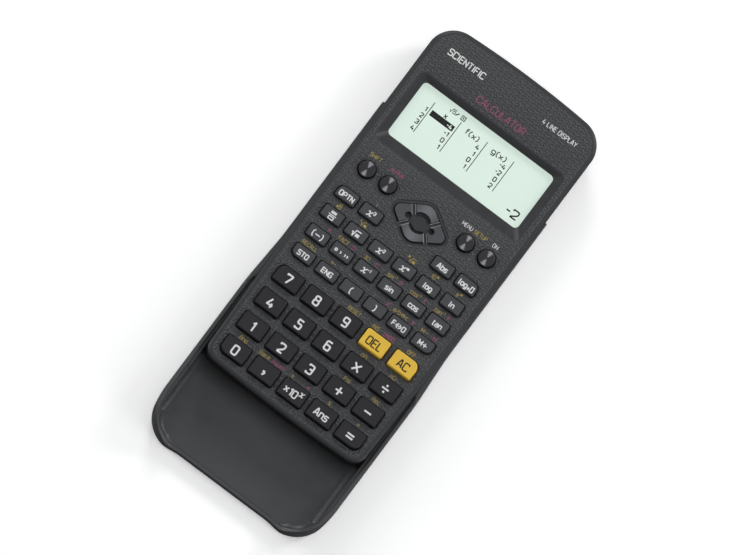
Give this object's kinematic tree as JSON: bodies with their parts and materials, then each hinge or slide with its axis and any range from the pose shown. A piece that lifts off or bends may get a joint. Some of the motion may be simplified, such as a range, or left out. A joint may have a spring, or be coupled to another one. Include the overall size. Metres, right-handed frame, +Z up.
{
  "type": "scientific calculator",
  "caption": "Pocket school calculator with a segment-matrix display, round, rectangular and cursor keys, and a slide-on hard case drawn part-way off.",
  "frame": {"origin": "on the flat underside of the slide cover, below the middle of the calculator body", "axes": "+X to the right across the keyboard, +Y along the body towards the display end, +Z up out of the keyboard"},
  "size_m": [0.0812, 0.2006, 0.0174],
  "materials": {
    "front_case": "leather-grain moulded plastic, smooth edge",
    "rear_case": "fine spark-eroded texture",
    "window": "clear acrylic",
    "lcd": "reflective grey-green liquid crystal panel",
    "rubber": "matt silicone",
    "board": "solder-mask lacquer",
    "cell": "satin steel can",
    "screw": "zinc-plated steel",
    "cover": "smooth satin moulded plastic",
    "function_key": "satin",
    "number_key": "satin",
    "yellow_key": "satin",
    "round_key": "metallic, turned",
    "cursor_key": "metallic satin"
  },
  "bodies": {
    "calculator": {"front_case": "front_case", "rear_case": "rear_case", "display_window": "window", "lcd_panel": "lcd", "key_mat": "rubber", "main_board": "board", "battery_cell": "cell", "battery_cover": "rear_case", "battery_cover_screw": "screw"},
    "slide_cover": {"slide_cover": "cover"},
    "key_shift": {"key_shift": "round_key"},
    "key_alpha": {"key_alpha": "round_key"},
    "key_menu": {"key_menu": "round_key"},
    "key_on": {"key_on": "round_key"},
    "cursor_up": {"cursor_up": "cursor_key"},
    "cursor_down": {"cursor_down": "cursor_key"},
    "cursor_left": {"cursor_left": "cursor_key"},
    "cursor_right": {"cursor_right": "cursor_key"},
    "key_option": {"key_option": "function_key"},
    "key_cube": {"key_cube": "function_key"},
    "key_absolute": {"key_absolute": "function_key"},
    "key_log_base": {"key_log_base": "function_key"},
    "key_fraction": {"key_fraction": "function_key"},
    "key_square_root": {"key_square_root": "function_key"},
    "key_square": {"key_square": "function_key"},
    "key_power": {"key_power": "function_key"},
    "key_log": {"key_log": "function_key"},
    "key_ln": {"key_ln": "function_key"},
    "key_negative": {"key_negative": "function_key"},
    "key_degrees": {"key_degrees": "function_key"},
    "key_reciprocal": {"key_reciprocal": "function_key"},
    "key_sin": {"key_sin": "function_key"},
    "key_cos": {"key_cos": "function_key"},
    "key_tan": {"key_tan": "function_key"},
    "key_store": {"key_store": "function_key"},
    "key_eng": {"key_eng": "function_key"},
    "key_open_bracket": {"key_open_bracket": "function_key"},
    "key_close_bracket": {"key_close_bracket": "function_key"},
    "key_fraction_decimal": {"key_fraction_decimal": "function_key"},
    "key_memory_plus": {"key_memory_plus": "function_key"},
    "key_7": {"key_7": "number_key"},
    "key_8": {"key_8": "number_key"},
    "key_9": {"key_9": "number_key"},
    "key_delete": {"key_delete": "yellow_key"},
    "key_all_clear": {"key_all_clear": "yellow_key"},
    "key_4": {"key_4": "number_key"},
    "key_5": {"key_5": "number_key"},
    "key_6": {"key_6": "number_key"},
    "key_multiply": {"key_multiply": "number_key"},
    "key_divide": {"key_divide": "number_key"},
    "key_1": {"key_1": "number_key"},
    "key_2": {"key_2": "number_key"},
    "key_3": {"key_3": "number_key"},
    "key_plus": {"key_plus": "number_key"},
    "key_minus": {"key_minus": "number_key"},
    "key_0": {"key_0": "number_key"},
    "key_comma": {"key_comma": "number_key"},
    "key_exponent": {"key_exponent": "number_key"},
    "key_answer": {"key_answer": "number_key"},
    "key_equals": {"key_equals": "number_key"}
  },
  "joints": [
    {"name": "slide_cover_slide", "type": "slide", "parent": "calculator", "child": "slide_cover", "axis": [0, -1, 0], "range_m": [-0.0315, 0.13]},
    {"name": "key_shift_press", "type": "slide", "parent": "calculator", "child": "key_shift", "axis": [0, 0, -1], "range_m": [0, 0.0009], "stiffness_N_per_m": 60, "springref_m": -0.004},
    {"name": "key_alpha_press", "type": "slide", "parent": "calculator", "child": "key_alpha", "axis": [0, 0, -1], "range_m": [0, 0.0009], "stiffness_N_per_m": 60, "springref_m": -0.004},
    {"name": "key_menu_press", "type": "slide", "parent": "calculator", "child": "key_menu", "axis": [0, 0, -1], "range_m": [0, 0.0009], "stiffness_N_per_m": 60, "springref_m": -0.004},
    {"name": "key_on_press", "type": "slide", "parent": "calculator", "child": "key_on", "axis": [0, 0, -1], "range_m": [0, 0.0009], "stiffness_N_per_m": 60, "springref_m": -0.004},
    {"name": "cursor_up_press", "type": "slide", "parent": "calculator", "child": "cursor_up", "axis": [0, 0, -1], "range_m": [0, 0.0009], "stiffness_N_per_m": 60, "springref_m": -0.004},
    {"name": "cursor_down_press", "type": "slide", "parent": "calculator", "child": "cursor_down", "axis": [0, 0, -1], "range_m": [0, 0.0009], "stiffness_N_per_m": 60, "springref_m": -0.004},
    {"name": "cursor_left_press", "type": "slide", "parent": "calculator", "child": "cursor_left", "axis": [0, 0, -1], "range_m": [0, 0.0009], "stiffness_N_per_m": 60, "springref_m": -0.004},
    {"name": "cursor_right_press", "type": "slide", "parent": "calculator", "child": "cursor_right", "axis": [0, 0, -1], "range_m": [0, 0.0009], "stiffness_N_per_m": 60, "springref_m": -0.004},
    {"name": "key_option_press", "type": "slide", "parent": "calculator", "child": "key_option", "axis": [0, 0, -1], "range_m": [0, 0.0009], "stiffness_N_per_m": 60, "springref_m": -0.004},
    {"name": "key_cube_press", "type": "slide", "parent": "calculator", "child": "key_cube", "axis": [0, 0, -1], "range_m": [0, 0.0009], "stiffness_N_per_m": 60, "springref_m": -0.004},
    {"name": "key_absolute_press", "type": "slide", "parent": "calculator", "child": "key_absolute", "axis": [0, 0, -1], "range_m": [0, 0.0009], "stiffness_N_per_m": 60, "springref_m": -0.004},
    {"name": "key_log_base_press", "type": "slide", "parent": "calculator", "child": "key_log_base", "axis": [0, 0, -1], "range_m": [0, 0.0009], "stiffness_N_per_m": 60, "springref_m": -0.004},
    {"name": "key_fraction_press", "type": "slide", "parent": "calculator", "child": "key_fraction", "axis": [0, 0, -1], "range_m": [0, 0.0009], "stiffness_N_per_m": 60, "springref_m": -0.004},
    {"name": "key_square_root_press", "type": "slide", "parent": "calculator", "child": "key_square_root", "axis": [0, 0, -1], "range_m": [0, 0.0009], "stiffness_N_per_m": 60, "springref_m": -0.004},
    {"name": "key_square_press", "type": "slide", "parent": "calculator", "child": "key_square", "axis": [0, 0, -1], "range_m": [0, 0.0009], "stiffness_N_per_m": 60, "springref_m": -0.004},
    {"name": "key_power_press", "type": "slide", "parent": "calculator", "child": "key_power", "axis": [0, 0, -1], "range_m": [0, 0.0009], "stiffness_N_per_m": 60, "springref_m": -0.004},
    {"name": "key_log_press", "type": "slide", "parent": "calculator", "child": "key_log", "axis": [0, 0, -1], "range_m": [0, 0.0009], "stiffness_N_per_m": 60, "springref_m": -0.004},
    {"name": "key_ln_press", "type": "slide", "parent": "calculator", "child": "key_ln", "axis": [0, 0, -1], "range_m": [0, 0.0009], "stiffness_N_per_m": 60, "springref_m": -0.004},
    {"name": "key_negative_press", "type": "slide", "parent": "calculator", "child": "key_negative", "axis": [0, 0, -1], "range_m": [0, 0.0009], "stiffness_N_per_m": 60, "springref_m": -0.004},
    {"name": "key_degrees_press", "type": "slide", "parent": "calculator", "child": "key_degrees", "axis": [0, 0, -1], "range_m": [0, 0.0009], "stiffness_N_per_m": 60, "springref_m": -0.004},
    {"name": "key_reciprocal_press", "type": "slide", "parent": "calculator", "child": "key_reciprocal", "axis": [0, 0, -1], "range_m": [0, 0.0009], "stiffness_N_per_m": 60, "springref_m": -0.004},
    {"name": "key_sin_press", "type": "slide", "parent": "calculator", "child": "key_sin", "axis": [0, 0, -1], "range_m": [0, 0.0009], "stiffness_N_per_m": 60, "springref_m": -0.004},
    {"name": "key_cos_press", "type": "slide", "parent": "calculator", "child": "key_cos", "axis": [0, 0, -1], "range_m": [0, 0.0009], "stiffness_N_per_m": 60, "springref_m": -0.004},
    {"name": "key_tan_press", "type": "slide", "parent": "calculator", "child": "key_tan", "axis": [0, 0, -1], "range_m": [0, 0.0009], "stiffness_N_per_m": 60, "springref_m": -0.004},
    {"name": "key_store_press", "type": "slide", "parent": "calculator", "child": "key_store", "axis": [0, 0, -1], "range_m": [0, 0.0009], "stiffness_N_per_m": 60, "springref_m": -0.004},
    {"name": "key_eng_press", "type": "slide", "parent": "calculator", "child": "key_eng", "axis": [0, 0, -1], "range_m": [0, 0.0009], "stiffness_N_per_m": 60, "springref_m": -0.004},
    {"name": "key_open_bracket_press", "type": "slide", "parent": "calculator", "child": "key_open_bracket", "axis": [0, 0, -1], "range_m": [0, 0.0009], "stiffness_N_per_m": 60, "springref_m": -0.004},
    {"name": "key_close_bracket_press", "type": "slide", "parent": "calculator", "child": "key_close_bracket", "axis": [0, 0, -1], "range_m": [0, 0.0009], "stiffness_N_per_m": 60, "springref_m": -0.004},
    {"name": "key_fraction_decimal_press", "type": "slide", "parent": "calculator", "child": "key_fraction_decimal", "axis": [0, 0, -1], "range_m": [0, 0.0009], "stiffness_N_per_m": 60, "springref_m": -0.004},
    {"name": "key_memory_plus_press", "type": "slide", "parent": "calculator", "child": "key_memory_plus", "axis": [0, 0, -1], "range_m": [0, 0.0009], "stiffness_N_per_m": 60, "springref_m": -0.004},
    {"name": "key_7_press", "type": "slide", "parent": "calculator", "child": "key_7", "axis": [0, 0, -1], "range_m": [0, 0.0009], "stiffness_N_per_m": 60, "springref_m": -0.004},
    {"name": "key_8_press", "type": "slide", "parent": "calculator", "child": "key_8", "axis": [0, 0, -1], "range_m": [0, 0.0009], "stiffness_N_per_m": 60, "springref_m": -0.004},
    {"name": "key_9_press", "type": "slide", "parent": "calculator", "child": "key_9", "axis": [0, 0, -1], "range_m": [0, 0.0009], "stiffness_N_per_m": 60, "springref_m": -0.004},
    {"name": "key_delete_press", "type": "slide", "parent": "calculator", "child": "key_delete", "axis": [0, 0, -1], "range_m": [0, 0.0009], "stiffness_N_per_m": 60, "springref_m": -0.004},
    {"name": "key_all_clear_press", "type": "slide", "parent": "calculator", "child": "key_all_clear", "axis": [0, 0, -1], "range_m": [0, 0.0009], "stiffness_N_per_m": 60, "springref_m": -0.004},
    {"name": "key_4_press", "type": "slide", "parent": "calculator", "child": "key_4", "axis": [0, 0, -1], "range_m": [0, 0.0009], "stiffness_N_per_m": 60, "springref_m": -0.004},
    {"name": "key_5_press", "type": "slide", "parent": "calculator", "child": "key_5", "axis": [0, 0, -1], "range_m": [0, 0.0009], "stiffness_N_per_m": 60, "springref_m": -0.004},
    {"name": "key_6_press", "type": "slide", "parent": "calculator", "child": "key_6", "axis": [0, 0, -1], "range_m": [0, 0.0009], "stiffness_N_per_m": 60, "springref_m": -0.004},
    {"name": "key_multiply_press", "type": "slide", "parent": "calculator", "child": "key_multiply", "axis": [0, 0, -1], "range_m": [0, 0.0009], "stiffness_N_per_m": 60, "springref_m": -0.004},
    {"name": "key_divide_press", "type": "slide", "parent": "calculator", "child": "key_divide", "axis": [0, 0, -1], "range_m": [0, 0.0009], "stiffness_N_per_m": 60, "springref_m": -0.004},
    {"name": "key_1_press", "type": "slide", "parent": "calculator", "child": "key_1", "axis": [0, 0, -1], "range_m": [0, 0.0009], "stiffness_N_per_m": 60, "springref_m": -0.004},
    {"name": "key_2_press", "type": "slide", "parent": "calculator", "child": "key_2", "axis": [0, 0, -1], "range_m": [0, 0.0009], "stiffness_N_per_m": 60, "springref_m": -0.004},
    {"name": "key_3_press", "type": "slide", "parent": "calculator", "child": "key_3", "axis": [0, 0, -1], "range_m": [0, 0.0009], "stiffness_N_per_m": 60, "springref_m": -0.004},
    {"name": "key_plus_press", "type": "slide", "parent": "calculator", "child": "key_plus", "axis": [0, 0, -1], "range_m": [0, 0.0009], "stiffness_N_per_m": 60, "springref_m": -0.004},
    {"name": "key_minus_press", "type": "slide", "parent": "calculator", "child": "key_minus", "axis": [0, 0, -1], "range_m": [0, 0.0009], "stiffness_N_per_m": 60, "springref_m": -0.004},
    {"name": "key_0_press", "type": "slide", "parent": "calculator", "child": "key_0", "axis": [0, 0, -1], "range_m": [0, 0.0009], "stiffness_N_per_m": 60, "springref_m": -0.004},
    {"name": "key_comma_press", "type": "slide", "parent": "calculator", "child": "key_comma", "axis": [0, 0, -1], "range_m": [0, 0.0009], "stiffness_N_per_m": 60, "springref_m": -0.004},
    {"name": "key_exponent_press", "type": "slide", "parent": "calculator", "child": "key_exponent", "axis": [0, 0, -1], "range_m": [0, 0.0009], "stiffness_N_per_m": 60, "springref_m": -0.004},
    {"name": "key_answer_press", "type": "slide", "parent": "calculator", "child": "key_answer", "axis": [0, 0, -1], "range_m": [0, 0.0009], "stiffness_N_per_m": 60, "springref_m": -0.004},
    {"name": "key_equals_press", "type": "slide", "parent": "calculator", "child": "key_equals", "axis": [0, 0, -1], "range_m": [0, 0.0009], "stiffness_N_per_m": 60, "springref_m": -0.004}
  ]
}
